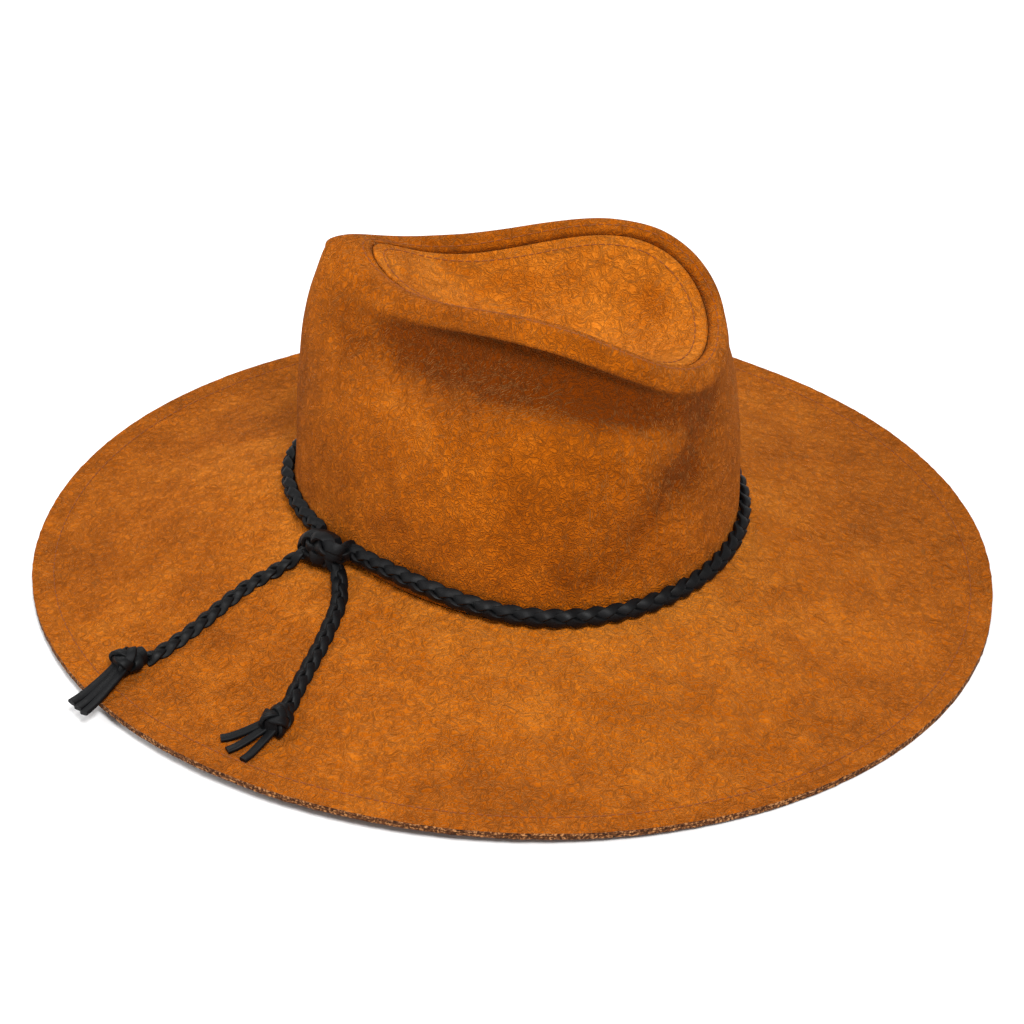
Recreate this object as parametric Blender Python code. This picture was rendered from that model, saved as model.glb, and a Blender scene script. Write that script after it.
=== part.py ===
"""Wide-brim fedora in suede, with a plaited cord round the crown and two loose cord ends on the brim.

Metres, +Z up. The wearer's front is -X, the wearer's left is -Y, and the brim rests on Z = 0.
Angles run from the back (+X) towards the wearer's right (+Y).
"""
import math

import bpy
import numpy as np

# Crown, measured on its outside
BASE_LENGTH = 0.199
BASE_WIDTH = 0.170
BASE_TAPER = 0.18
CROWN_HEIGHT = 0.1175
SEAM_LENGTH = 0.148
SEAM_WIDTH = 0.077
SEAM_TAPER = 0.52
SEAM_NOSE = 0.06
SEAM_SHIFT = 0.0110
FOLD_LENGTH = 0.029
FOLD_WIDTH = 0.012
RIDGE_LENGTH = SEAM_LENGTH + FOLD_LENGTH
RIDGE_WIDTH = SEAM_WIDTH + FOLD_WIDTH
RIDGE_TAPER = 0.55
RIDGE_NOSE = 0.05
RIDGE_SHIFT = 0.0040
CROWN_WALL = 0.002
TIP_DEPTH = 0.021
SEAM_LEAN = 0.0012
RIDGE_LEAN = 0.0060

# Brim
BRIM_LENGTH = 0.425
BRIM_WIDTH = 0.402
BRIM_TAPER = -0.01
LAYER_THICKNESS = 0.0013
BASE_HEIGHT = 0.0285
BASE_TILT = 0.0018
RIM_SADDLE = 0.0070
RIM_SINK = 0.0012
WAVE_HEIGHT = 0.003

# Cord
BAND_HEIGHT = 0.0090
BAND_THICKNESS = 0.0055
BAND_RISE = 0.0045
BAND_RISE_ANGLE = -98.0
BAND_RISE_SPREAD = 17.0
BAND_END_SHARE = 0.96
CORD_DIAMETER = 0.0076
KNOT_ANGLE = -120.5
KNOT_TILT = 15.0
KNOT_LENGTH = 0.028
KNOT_HEIGHT = 0.015
KNOT_THICKNESS = 0.014
END_KNOT_LENGTH = 0.017
END_KNOT_WIDTH = 0.0155
END_KNOT_HEIGHT = 0.011
KNOT_BLUNTNESS = 0.7
KNOT_WAIST = 0.06
BAND_KNOT_WAISTS = 3
END_KNOT_WAISTS = 2
STRIP_WIDTH = 0.0038
STRIP_THICKNESS = 0.0018
STRIP_SHARES = (0.0, 0.3, 0.5, 0.75, 1.0)
STRIP_TOUCH = 0.75

GAP = 0.0003
SEGMENTS = 64
BAND_SEGMENTS = 60
BAND_SIDES = 8
KNOT_SIDES = 12
KNOT_RINGS = 9
CORD_BEVEL = 4
CORD_POINT_SPACING = 1.6
CURVE_STEPS = 12
HALVINGS = 30
ANGLE_STEP = 1e-4
SHARP_ANGLE = 50.0

TAN_SUEDE = (0.42, 0.15, 0.035)
DARK_SUEDE = (0.16, 0.07, 0.03)
BLACK_LEATHER = (0.012, 0.012, 0.014)
SUEDE_ROUGHNESS = 0.95
LEATHER_ROUGHNESS = 0.6

# Heights of the ridge and of the tip's seam round the crown, as shares of CROWN_HEIGHT,
# at the back, the back quarters, the sides, the front quarters and the front
STATIONS = (0.0, 45.0, 90.0, 135.0, 180.0)
RIDGE_HEIGHTS = (0.77, 0.950, 0.977, 0.905, 0.93)
SEAM_HEIGHTS = (0.80, 0.95, 0.975, 0.89, 0.95)

# Rows up the wall: share of the ridge's height, share of the way from the base oval to the ridge oval
# at the front and the back, and the same at the sides
WALL_ROWS = (
    (0.00, 0.00, 0.00),
    (0.12, 0.00, 0.00),
    (0.28, 0.04, 0.03),
    (0.45, 0.11, 0.11),
    (0.60, 0.23, 0.26),
    (0.70, 0.34, 0.44),
    (0.79, 0.48, 0.67),
    (0.87, 0.65, 0.81),
    (0.94, 0.82, 0.91),
    (0.98, 0.94, 0.97),
    (1.00, 1.00, 1.00),
)
# Rows over the ridge: share of the way from the ridge to the seam, swell as a share of CROWN_WALL
CREST_ROWS = (
    (0.30, 0.9),
    (0.65, 0.6),
    (1.00, 0.0),
)
# Rows in from the seam: share of the seam oval's size, share of TIP_DEPTH
TIP_ROWS = (
    (0.82, 0.25),
    (0.60, 0.60),
    (0.36, 0.88),
    (0.14, 1.00),
)
# Dents in the wall: angle, share of the height, depth as a share of BASE_WIDTH,
# spread in degrees, spread as a share of the height
DENTS = (
    (-68.0, 0.84, 0.046, 32.0, 0.065),
    (-65.0, 0.70, 0.022, 34.0, 0.12),
    (75.0, 0.80, 0.026, 34.0, 0.08),
    (-40.0, 0.40, 0.012, 12.0, 0.20),
)
# Rows across the brim: share of the way from the crown to the rim, share of the drop
BRIM_ROWS = (
    (0.00, 0.00),
    (0.10, 0.13),
    (0.25, 0.32),
    (0.43, 0.54),
    (0.62, 0.77),
    (0.80, 0.93),
    (0.93, 1.00),
    (1.00, 1.00),
)
# Waves of the brim: angle, spread in degrees, share of WAVE_HEIGHT
BRIM_WAVES = (
    (30.0, 16.0, 0.8),
    (-12.0, 14.0, 0.3),
    (-60.0, 20.0, -0.3),
    (75.0, 20.0, -0.4),
    (150.0, 22.0, -0.4),
    (-140.0, 22.0, 0.3),
)

# Routes of the two loose ends over the brim, from the knot: along X, along Y, lift off the brim
FRONT_ROUTE = (
    (-0.0630, -0.0755, 0.0036),
    (-0.0665, -0.0785, 0.0024),
    (-0.0700, -0.0820, 0.0012),
    (-0.0735, -0.0860, 0.0004),
    (-0.0785, -0.0920, 0.0),
    (-0.0825, -0.1000, 0.0),
    (-0.0855, -0.1080, 0.0),
    (-0.0885, -0.1170, 0.0),
    (-0.0915, -0.1250, 0.0),
    (-0.0950, -0.1335, 0.0),
    (-0.0985, -0.1415, 0.0),
    (-0.1015, -0.1460, 0.0),
)
BACK_ROUTE = (
    (-0.0445, -0.0810, 0.0022),
    (-0.0425, -0.0840, 0.0014),
    (-0.0405, -0.0875, 0.0006),
    (-0.0385, -0.0915, 0.0),
    (-0.0365, -0.0970, 0.0),
    (-0.0350, -0.1040, 0.0),
    (-0.0340, -0.1120, 0.0),
    (-0.0330, -0.1200, 0.0),
    (-0.0325, -0.1280, 0.0),
    (-0.0320, -0.1370, 0.0),
    (-0.0315, -0.1460, 0.0),
    (-0.0305, -0.1545, 0.0),
    (-0.0300, -0.1605, 0.0),
)
# Tips of the strips that leave each end knot: along X, along Y
FRONT_STRIPS = ((-0.1165, -0.1810), (-0.1120, -0.1835), (-0.1080, -0.1855))
BACK_STRIPS = ((-0.0483, -0.1804), (-0.0425, -0.1860), (-0.0340, -0.1890))


def around(values, angle):
    """Smooth value at an angle from values at the stations, the same on both sides."""
    orders = range(len(STATIONS))
    cosines = [[math.cos(order * math.radians(station)) for order in orders] for station in STATIONS]
    parts = np.linalg.solve(np.array(cosines), np.array(values))
    return sum(part * np.cos(order * angle) for order, part in enumerate(parts))


def oval(length, width, taper, nose, shift, angle):
    """Plan of an egg shape whose narrow end is the front, with its ends made blunter by nose."""
    along = shift + 0.5 * length * np.cos(angle)
    swell = 1.0 + taper * np.cos(angle) + nose * np.cos(2.0 * angle)
    across = 0.5 * width * np.sin(angle) * swell
    return np.stack([along, across], axis=-1)


def bump(angle, centre, spread):
    """One at a direction in degrees and nothing beyond a few spreads of it."""
    away = (np.degrees(angle) - centre + 180.0) % 360.0 - 180.0
    return np.exp(-0.5 * (away / spread) ** 2)


def points(plan, height):
    return np.concatenate([plan, height[..., None]], axis=-1)


def base_plan(angle):
    return oval(BASE_LENGTH, BASE_WIDTH, BASE_TAPER, 0.0, 0.0, angle)


def ridge_plan(angle):
    return oval(RIDGE_LENGTH, RIDGE_WIDTH, RIDGE_TAPER, RIDGE_NOSE, RIDGE_SHIFT, angle)


def seam_plan(angle):
    return oval(SEAM_LENGTH, SEAM_WIDTH, SEAM_TAPER, SEAM_NOSE, SEAM_SHIFT, angle)


def brim_top_at_crown(angle):
    return BASE_HEIGHT - BASE_TILT * np.cos(angle)


def rise_from_base(values, angle, lean, across):
    """Height of a ring of the crown, whose right side stands higher by the lean."""
    level = brim_top_at_crown(angle) + GAP + CROWN_HEIGHT * around(values, angle)
    return level + lean * across / RIDGE_WIDTH


def wall_point(angle, share):
    """Point of the crown's outer face at a share of the way up to the ridge."""
    shares, lengthwise, sideways = zip(*WALL_ROWS)
    blend = np.interp(share, shares, lengthwise) * np.cos(angle) ** 2
    blend = (blend + np.interp(share, shares, sideways) * np.sin(angle) ** 2)[..., None]
    plan = (1.0 - blend) * base_plan(angle) + blend * ridge_plan(angle)
    inward = -plan / np.linalg.norm(plan, axis=-1, keepdims=True)
    depth = np.zeros_like(angle)
    for centre, height_share, depth_share, spread, height_spread in DENTS:
        fade = math.exp(-0.5 * ((share - height_share) / height_spread) ** 2)
        depth = depth + BASE_WIDTH * depth_share * fade * bump(angle, centre, spread)
    start = brim_top_at_crown(angle) + GAP
    top = rise_from_base(RIDGE_HEIGHTS, angle, RIDGE_LEAN, ridge_plan(angle)[..., 1])
    height = start + share * (top - start)
    return points(plan + inward * depth[..., None], height)


def crown_rows(angle):
    """Rings of the crown's outer face: the wall, over the ridge to the seam, and the tip."""
    wall = [wall_point(angle, share) for share, _, _ in WALL_ROWS]
    ridge = wall[-1]
    seam_flat = seam_plan(angle)
    seam = points(seam_flat, rise_from_base(SEAM_HEIGHTS, angle, SEAM_LEAN, seam_flat[..., 1]))
    up = np.array([0.0, 0.0, 1.0])
    crest = [ridge + share * (seam - ridge) + swell * CROWN_WALL * up for share, swell in CREST_ROWS]
    centre = seam.mean(axis=0)
    tip = [centre + share * (seam - centre) - depth * TIP_DEPTH * up for share, depth in TIP_ROWS]
    return np.array(wall + crest), np.array(tip)


def face_normals(rows):
    """Unit normals of a grid of rings, from its neighbours on both ways."""
    along = np.roll(rows, -1, axis=1) - np.roll(rows, 1, axis=1)
    across = np.gradient(rows, axis=0)
    normals = np.cross(along, across)
    return normals / np.linalg.norm(normals, axis=-1, keepdims=True)


def make_material(name, colour, roughness):
    material = bpy.data.materials.new(name)
    material.use_nodes = True
    shader = material.node_tree.nodes["Principled BSDF"]
    shader.inputs["Base Color"].default_value = (*colour, 1.0)
    shader.inputs["Roughness"].default_value = roughness
    shader.inputs["Metallic"].default_value = 0.0
    return material


def add_object(name, vertices, faces, material):
    mesh = bpy.data.meshes.new(name)
    mesh.from_pydata([tuple(vertex) for vertex in vertices], [], faces)
    mesh.materials.append(material)
    mesh.shade_smooth()
    mesh.set_sharp_from_angle(angle=math.radians(SHARP_ANGLE))
    piece = bpy.data.objects.new(name, mesh)
    bpy.context.scene.collection.objects.link(piece)
    return piece


def strip_faces(first, second, count):
    """Quads between two rings of vertices that start at two indices."""
    faces = []
    for i in range(count):
        j = (i + 1) % count
        faces.append((first + i, first + j, second + j, second + i))
    return faces


def add_shell(name, outer, inner, material, closed_tip=False):
    """Wall between two grids of rings, open in the middle or closed on a point at its last ring."""
    rings, count = outer.shape[:2]
    vertices = np.concatenate([outer.reshape(-1, 3), inner.reshape(-1, 3)])
    other = rings * count
    faces = []
    for row in range(rings - 1):
        faces += strip_faces(row * count, (row + 1) * count, count)
        faces += strip_faces(other + (row + 1) * count, other + row * count, count)
    faces += strip_faces(other, 0, count)
    last = (rings - 1) * count
    if closed_tip:
        outer_point = len(vertices)
        vertices = np.concatenate([vertices, [outer[-1].mean(axis=0), inner[-1].mean(axis=0)]])
        for i in range(count):
            j = (i + 1) % count
            faces.append((last + i, last + j, outer_point))
            faces.append((other + last + j, other + last + i, outer_point + 1))
    else:
        faces += strip_faces(last, other + last, count)
    return add_object(name, vertices, faces, material)


def ring_angles():
    return np.arange(SEGMENTS) * 2.0 * math.pi / SEGMENTS


def build_crown(material):
    wall, tip = crown_rows(ring_angles())
    rows = np.concatenate([wall, tip])
    normals = face_normals(rows)
    inner = rows - CROWN_WALL * normals
    parted = len(wall)
    add_shell("crown_side", rows[:parted], inner[:parted], material)
    step = tip[0] - wall[-1]
    inset = GAP * step / np.linalg.norm(step, axis=-1, keepdims=True)
    edge = wall[-1] + inset
    tip_outer = np.concatenate([[edge], rows[parted:]])
    tip_inner = np.concatenate([[inner[parted - 1] + inset], inner[parted:]])
    add_shell("crown_tip", tip_outer, tip_inner, material, closed_tip=True)


def rim_plan(angle):
    return oval(BRIM_LENGTH, BRIM_WIDTH, BRIM_TAPER, 0.0, 0.0, angle)


def brim_bottom_height(angle, share):
    """Height of the brim's underside at a share of the way from the crown to the rim."""
    shares, drops = zip(*BRIM_ROWS)
    start = brim_top_at_crown(angle) - 2.0 * LAYER_THICKNESS - GAP
    rim = 0.5 * RIM_SADDLE * (1.0 - np.cos(2.0 * angle)) - RIM_SINK
    wave = sum(WAVE_HEIGHT * part * bump(angle, centre, spread) for centre, spread, part in BRIM_WAVES)
    height = start + np.interp(share, shares, drops) * (rim - start) + share * wave
    return np.maximum(height, 0.0)


def brim_top_height(along, across):
    """Height of the brim's top at a place in plan, that of the rim beyond the rim."""
    low, high = 0.0, 1.0
    for _ in range(HALVINGS):
        share = 0.5 * (low + high)
        length = (1.0 - share) * BASE_LENGTH + share * BRIM_LENGTH
        width = (1.0 - share) * BASE_WIDTH + share * BRIM_WIDTH
        taper = ((1.0 - share) * BASE_WIDTH * BASE_TAPER + share * BRIM_WIDTH * BRIM_TAPER) / width
        cosine = max(-1.0, min(1.0, 2.0 * along / length))
        reach = math.hypot(2.0 * along / length, 2.0 * across / (width * (1.0 + taper * cosine)))
        low, high = (share, high) if reach > 1.0 else (low, share)
    angle = math.atan2(across / width, along / length)
    return float(brim_bottom_height(angle, share)) + 2.0 * LAYER_THICKNESS + GAP


def brim_layer_rows(angle, lift):
    """Rings of a face of the brim, from the head opening out to the rim."""
    inside = oval(BASE_LENGTH - 2.0 * CROWN_WALL, BASE_WIDTH - 2.0 * CROWN_WALL, BASE_TAPER, 0.0, 0.0, angle)
    rows = [points(inside, brim_bottom_height(angle, 0.0) + lift)]
    for share, _ in BRIM_ROWS:
        plan = (1.0 - share) * base_plan(angle) + share * rim_plan(angle)
        rows.append(points(plan, brim_bottom_height(angle, share) + lift))
    return np.array(rows)


def build_brim(upper_material, under_material):
    angle = ring_angles()
    for name, low, material in (
        ("brim_under", 0.0, under_material),
        ("brim_upper", LAYER_THICKNESS + GAP, upper_material),
    ):
        bottom = brim_layer_rows(angle, low)
        top = brim_layer_rows(angle, low + LAYER_THICKNESS)
        add_shell(name, top[::-1], bottom[::-1], material)


def add_tube_mesh(name, rings, material):
    """Closed body through equal rings of points, with a flat cap at each end."""
    count = len(rings[0])
    faces = [tuple(reversed(range(count)))]
    for row in range(len(rings) - 1):
        faces += strip_faces(row * count, (row + 1) * count, count)
    last = (len(rings) - 1) * count
    faces.append(tuple(range(last, last + count)))
    return add_object(name, np.concatenate(rings), faces, material)


def base_slope(angle):
    """Step in plan along the crown's base for each radian."""
    low, high = base_plan(np.array([angle - ANGLE_STEP, angle + ANGLE_STEP]))
    return (high - low) / (2.0 * ANGLE_STEP)


def outward_normal(angle):
    """Unit normal in plan of the crown's base at an angle."""
    tangent = base_slope(angle)
    tangent = tangent / np.linalg.norm(tangent)
    return np.array([tangent[1], -tangent[0]])


def build_band(material):
    """Band that lies round the foot of the crown, from one side of the knot to the other."""
    knot = math.radians(KNOT_ANGLE)
    half_gap = BAND_END_SHARE * 0.5 * KNOT_LENGTH / np.linalg.norm(base_slope(knot))
    rings = []
    turn = 2.0 * math.pi / BAND_SIDES
    for i in range(BAND_SEGMENTS + 1):
        angle = knot + half_gap + i * (2.0 * math.pi - 2.0 * half_gap) / BAND_SEGMENTS
        rise = BAND_RISE * float(bump(angle, BAND_RISE_ANGLE, BAND_RISE_SPREAD))
        out = np.append(outward_normal(angle), 0.0)
        foot = np.append(base_plan(np.array([angle]))[0], float(brim_top_at_crown(angle)))
        centre = foot + (GAP + 0.5 * BAND_THICKNESS) * out
        centre[2] += GAP + 0.5 * BAND_HEIGHT + rise
        ring = []
        for k in range(BAND_SIDES):
            around_section = -(k + 0.5) * turn
            offset = 0.5 * BAND_THICKNESS * math.cos(around_section) * out
            offset[2] += 0.5 * BAND_HEIGHT * math.sin(around_section)
            ring.append(centre + offset)
        rings.append(np.array(ring))
    return add_tube_mesh("hat_band", rings, material)


def knot_rings(centre, axes, sizes, waists):
    """Rings of a blunt egg with shallow waists, along the first of three axes."""
    length, width, height = sizes
    along, aside, upward = axes
    rings = []
    for row in range(KNOT_RINGS):
        turn = math.pi * (row + 0.5) / KNOT_RINGS
        blunt = math.sin(turn) ** KNOT_BLUNTNESS
        waist = 1.0 - KNOT_WAIST * (1.0 + math.cos(2.0 * waists * turn))
        middle = centre - 0.5 * length * math.cos(turn) * along
        ring = []
        for k in range(KNOT_SIDES):
            spot = 2.0 * math.pi * k / KNOT_SIDES
            offset = width * math.cos(spot) * aside + height * math.sin(spot) * upward
            ring.append(middle + 0.5 * blunt * waist * offset)
        rings.append(np.array(ring))
    return rings


def build_band_knot(material):
    """Knot on the band, seated on the brim against the foot of the crown."""
    angle = math.radians(KNOT_ANGLE)
    tilt = math.radians(KNOT_TILT)
    out = np.append(outward_normal(angle), 0.0)
    level = np.array([-out[1], out[0], 0.0])
    upward = np.array([0.0, 0.0, 1.0])
    along = math.cos(tilt) * level + math.sin(tilt) * upward
    across = math.cos(tilt) * upward - math.sin(tilt) * level
    plan = base_plan(np.array([angle]))[0] + (GAP + 0.5 * KNOT_THICKNESS) * out[:2]
    reach = math.hypot(0.5 * KNOT_HEIGHT * math.cos(tilt), 0.5 * KNOT_LENGTH * math.sin(tilt))
    centre = np.append(plan, brim_top_height(*plan) + GAP + reach)
    sizes = (KNOT_LENGTH, KNOT_THICKNESS, KNOT_HEIGHT)
    rings = knot_rings(centre, (along, -out, across), sizes, BAND_KNOT_WAISTS)
    return add_tube_mesh("band_knot", rings, material)


def smooth_curve(route, spacing):
    """Points at an even spacing along a smooth curve through the route's own points."""
    route = np.array(route)
    padded = np.concatenate([[2.0 * route[0] - route[1]], route, [2.0 * route[-1] - route[-2]]])
    fine = []
    for i in range(len(route) - 1):
        before, start, end, after = padded[i:i + 4]
        for t in np.linspace(0.0, 1.0, CURVE_STEPS, endpoint=False):
            fine.append(0.5 * (2.0 * start + (end - before) * t
                               + (2.0 * before - 5.0 * start + 4.0 * end - after) * t ** 2
                               + (3.0 * start - before - 3.0 * end + after) * t ** 3))
    fine = np.array(fine + [route[-1]])
    travelled = np.concatenate([[0.0], np.cumsum(np.linalg.norm(np.diff(fine, axis=0), axis=1))])
    places = np.linspace(0.0, travelled[-1], max(2, round(travelled[-1] / spacing) + 1))
    return np.stack([np.interp(places, travelled, fine[:, axis]) for axis in range(3)], axis=1)


def cord_on_brim(route):
    """A route's points as the cord's middle line, resting on the brim."""
    radius = 0.5 * CORD_DIAMETER
    return [(x, y, brim_top_height(x, y) + GAP + radius + lift) for x, y, lift in route]


def add_cord(name, route, material):
    """Loose end of the cord as a round tube with filled ends."""
    curve = bpy.data.curves.new(name, "CURVE")
    curve.dimensions = "3D"
    curve.bevel_depth = 0.5 * CORD_DIAMETER
    curve.bevel_resolution = CORD_BEVEL
    curve.use_fill_caps = True
    line = smooth_curve(cord_on_brim(route), CORD_POINT_SPACING * CORD_DIAMETER)
    spline = curve.splines.new("POLY")
    spline.points.add(len(line) - 1)
    for point, place in zip(spline.points, line):
        point.co = (*place, 1.0)
    curve.materials.append(material)
    piece = bpy.data.objects.new(name, curve)
    bpy.context.scene.collection.objects.link(piece)
    return piece


def strip_rings(start, tip):
    """Rings of a flat strip that falls from the knot's middle to the brim and lies on it."""
    flat = np.array([tip[0] - start[0], tip[1] - start[1]])
    side = np.array([-flat[1], flat[0], 0.0]) / np.linalg.norm(flat)
    rings = []
    for share in STRIP_SHARES:
        place = start[:2] + share * flat
        rest = brim_top_height(*place) + GAP + 0.5 * STRIP_THICKNESS
        height = rest + (start[2] - rest) * max(0.0, 1.0 - share / STRIP_TOUCH) ** 2
        centre = np.append(place, height)
        half_side = 0.5 * STRIP_WIDTH * side
        half_up = np.array([0.0, 0.0, 0.5 * STRIP_THICKNESS])
        rings.append(np.array([
            centre - half_side - half_up,
            centre + half_side - half_up,
            centre + half_side + half_up,
            centre - half_side + half_up,
        ]))
    return rings


def build_tassel(name, route, strips, material):
    """End knot past a loose end, with its strips fused to it."""
    end = np.array(route[-1][:2])
    before = np.array(route[-2][:2])
    heading = (end - before) / np.linalg.norm(end - before)
    plan = end + heading * (0.5 * END_KNOT_LENGTH + 2.0 * GAP)
    centre = np.append(plan, brim_top_height(*plan) + GAP + 0.5 * END_KNOT_HEIGHT)
    ahead = np.append(heading, 0.0)
    aside = np.array([-heading[1], heading[0], 0.0])
    upward = np.array([0.0, 0.0, 1.0])
    sizes = (END_KNOT_LENGTH, END_KNOT_WIDTH, END_KNOT_HEIGHT)
    rings = knot_rings(centre, (ahead, aside, upward), sizes, END_KNOT_WAISTS)
    head = add_tube_mesh(name, rings, material)
    for i, tip in enumerate(strips):
        strip = add_tube_mesh(f"{name}_strip_{i}", strip_rings(centre, tip), material)
        strip.hide_render = True
        strip.display_type = "WIRE"
        union = head.modifiers.new(f"strip_{i}", "BOOLEAN")
        union.operation = "UNION"
        union.solver = "EXACT"
        union.object = strip
    return head


def main():
    for piece in list(bpy.data.objects):
        bpy.data.objects.remove(piece, do_unlink=True)
    suede = make_material("tan_suede", TAN_SUEDE, SUEDE_ROUGHNESS)
    under = make_material("dark_suede", DARK_SUEDE, SUEDE_ROUGHNESS)
    leather = make_material("black_leather", BLACK_LEATHER, LEATHER_ROUGHNESS)
    build_crown(suede)
    build_brim(suede, under)
    build_band(leather)
    build_band_knot(leather)
    add_cord("cord_end_front", FRONT_ROUTE, leather)
    add_cord("cord_end_back", BACK_ROUTE, leather)
    build_tassel("tassel_front", FRONT_ROUTE, FRONT_STRIPS, leather)
    build_tassel("tassel_back", BACK_ROUTE, BACK_STRIPS, leather)


main()
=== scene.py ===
"""Looks of a wide-brim suede fedora with a plaited leather cord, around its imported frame.

Metres, +Z up. The wearer's front is -X and the wearer's left is -Y. Angles run from the back (+X)
towards the wearer's right (+Y).
"""
import math

import bpy
import numpy as np
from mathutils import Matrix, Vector, noise


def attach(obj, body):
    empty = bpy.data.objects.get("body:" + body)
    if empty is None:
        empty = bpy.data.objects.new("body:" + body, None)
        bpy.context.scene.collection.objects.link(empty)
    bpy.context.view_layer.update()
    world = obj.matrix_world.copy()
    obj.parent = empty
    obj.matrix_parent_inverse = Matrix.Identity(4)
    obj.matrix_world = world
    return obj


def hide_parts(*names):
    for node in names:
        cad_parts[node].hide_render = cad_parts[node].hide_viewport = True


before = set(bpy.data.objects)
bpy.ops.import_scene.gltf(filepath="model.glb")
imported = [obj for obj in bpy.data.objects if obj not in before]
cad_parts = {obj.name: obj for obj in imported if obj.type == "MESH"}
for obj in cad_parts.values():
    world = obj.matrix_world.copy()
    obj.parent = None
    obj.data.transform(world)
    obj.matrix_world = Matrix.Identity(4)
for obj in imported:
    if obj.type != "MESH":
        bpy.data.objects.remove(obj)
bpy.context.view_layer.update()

# Camera, fitted to the photo
CAMERA_AZIMUTH = 23.0
CAMERA_ELEVATION = 33.3
CAMERA_DISTANCE = 1.2
CAMERA_LENS = 94.92
CAMERA_SHIFT = (0.0016, 0.0434)

# Crown and brim, as the solids have them
BASE_LENGTH = 0.199
BASE_WIDTH = 0.170
BASE_TAPER = 0.18
CROWN_HEIGHT = 0.1175
SEAM_LENGTH = 0.148
SEAM_WIDTH = 0.077
SEAM_TAPER = 0.52
SEAM_NOSE = 0.06
SEAM_SHIFT = 0.0110
FOLD_LENGTH = 0.029
FOLD_WIDTH = 0.012
RIDGE_LENGTH = SEAM_LENGTH + FOLD_LENGTH
RIDGE_WIDTH = SEAM_WIDTH + FOLD_WIDTH
RIDGE_TAPER = 0.55
RIDGE_NOSE = 0.05
RIDGE_SHIFT = 0.0040
CROWN_WALL = 0.002
SEAM_LEAN = 0.0012
RIDGE_LEAN = 0.0060
TIP_DEPTH = 0.021
BRIM_LENGTH = 0.425
BRIM_WIDTH = 0.402
BRIM_TAPER = -0.01
LAYER_THICKNESS = 0.0013
BASE_HEIGHT = 0.0285
BASE_TILT = 0.0018
RIM_SADDLE = 0.0070
RIM_SINK = 0.0012
WAVE_HEIGHT = 0.003
GAP = 0.0003

# Heights round the crown as shares of CROWN_HEIGHT, at the back, the back quarters, the sides,
# the front quarters and the front
STATIONS = (0.0, 45.0, 90.0, 135.0, 180.0)
RIDGE_HEIGHTS = (0.77, 0.950, 0.977, 0.905, 0.93)
SEAM_HEIGHTS = (0.80, 0.95, 0.975, 0.89, 0.95)
# Rings of the wall: share of the ridge's height, share of the way in to the ridge at the front and back, the
# same at the sides
WALL_ROWS = (
    (0.00, 0.00, 0.00),
    (0.12, 0.00, 0.00),
    (0.28, 0.04, 0.03),
    (0.45, 0.11, 0.11),
    (0.60, 0.23, 0.26),
    (0.70, 0.34, 0.44),
    (0.79, 0.48, 0.67),
    (0.87, 0.65, 0.81),
    (0.94, 0.82, 0.91),
    (0.98, 0.94, 0.97),
    (1.00, 1.00, 1.00),
)
# Rings of the crest: share of the way from the ridge to the seam, swell as a share of CROWN_WALL
CREST_ROWS = ((0.30, 0.9), (0.65, 0.6), (1.00, 0.0))
# Rings of the tip: share of the seam oval's size, share of TIP_DEPTH
TIP_ROWS = ((0.955, 0.06), (0.82, 0.25), (0.60, 0.60), (0.36, 0.88), (0.14, 1.00), (0.0, 1.02))
# The fold under the near ridge: angle, spread and depth, then the edge of the overhang and the foot of
# the hollow, each with its softness, as shares of the height
FOLD_ANGLE = -70.0
FOLD_SPREAD = 35.0
FOLD_DEPTH = 0.0065
FOLD_EDGE = (0.955, 0.060)
FOLD_FOOT = (0.850, 0.065)
# Soft creases in the wall: angle and share of the height at one end, the same at the other, width, depth
CREASES = (
    (-18.0, 0.60, -52.0, 0.16, 0.0085, 0.0015),
    (-8.0, 0.80, -22.0, 0.55, 0.0085, 0.0018),
    (-95.0, 0.10, -70.0, 0.06, 0.0050, 0.0010),
    (-150.0, 0.62, -163.0, 0.20, 0.0100, 0.0012),
)
# The seam round the tip: gap as a share of the tip's first step, and the groove beside it
SEAM_GAP = 0.8
GROOVE_DEPTH = 0.0010
GROOVE_WIDTH = 0.0009
# Dents in the wall: angle, share of the height, depth as a share of BASE_WIDTH, spread in degrees, spread of
# the height
DENTS = (
    (-68.0, 0.84, 0.046, 32.0, 0.065),
    (-65.0, 0.70, 0.022, 34.0, 0.12),
    (75.0, 0.80, 0.026, 34.0, 0.08),
    (-40.0, 0.40, 0.012, 12.0, 0.20),
)
# Rings of the brim: share of the way from the crown to the rim, share of the drop
BRIM_ROWS = (
    (0.00, 0.00),
    (0.10, 0.13),
    (0.25, 0.32),
    (0.43, 0.54),
    (0.62, 0.77),
    (0.80, 0.93),
    (0.93, 1.00),
    (1.00, 1.00),
)
# Waves of the brim: angle, spread in degrees, share of WAVE_HEIGHT
BRIM_WAVES = (
    (30.0, 16.0, 0.8),
    (-12.0, 14.0, 0.3),
    (-60.0, 20.0, -0.3),
    (75.0, 20.0, -0.4),
    (150.0, 22.0, -0.4),
    (-140.0, 22.0, 0.3),
)
# Unevenness of the suede: height and length of its waves, seed
WALL_UNEVEN = ((0.0007, 0.045, 11.0), (0.0003, 0.016, 17.0))
TIP_UNEVEN = ((0.0008, 0.030, 23.0),)
BRIM_UNEVEN = ((0.0007, 0.060, 31.0), (0.0002, 0.018, 37.0))
RIM_FRAY = ((0.0003, 0.0013, 41.0),)
# Where it fades out: shares up from the crown's foot and out from the brim's inner edge, rows of the tip in
# from the seam, and heights of the brim's underside over what the hat stands on
WALL_FADE = 0.15
BRIM_FADE = 0.2
TIP_FADE = 2.0
RESTING_HEIGHT = 0.0004
RESTING_FADE = 0.004

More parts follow.
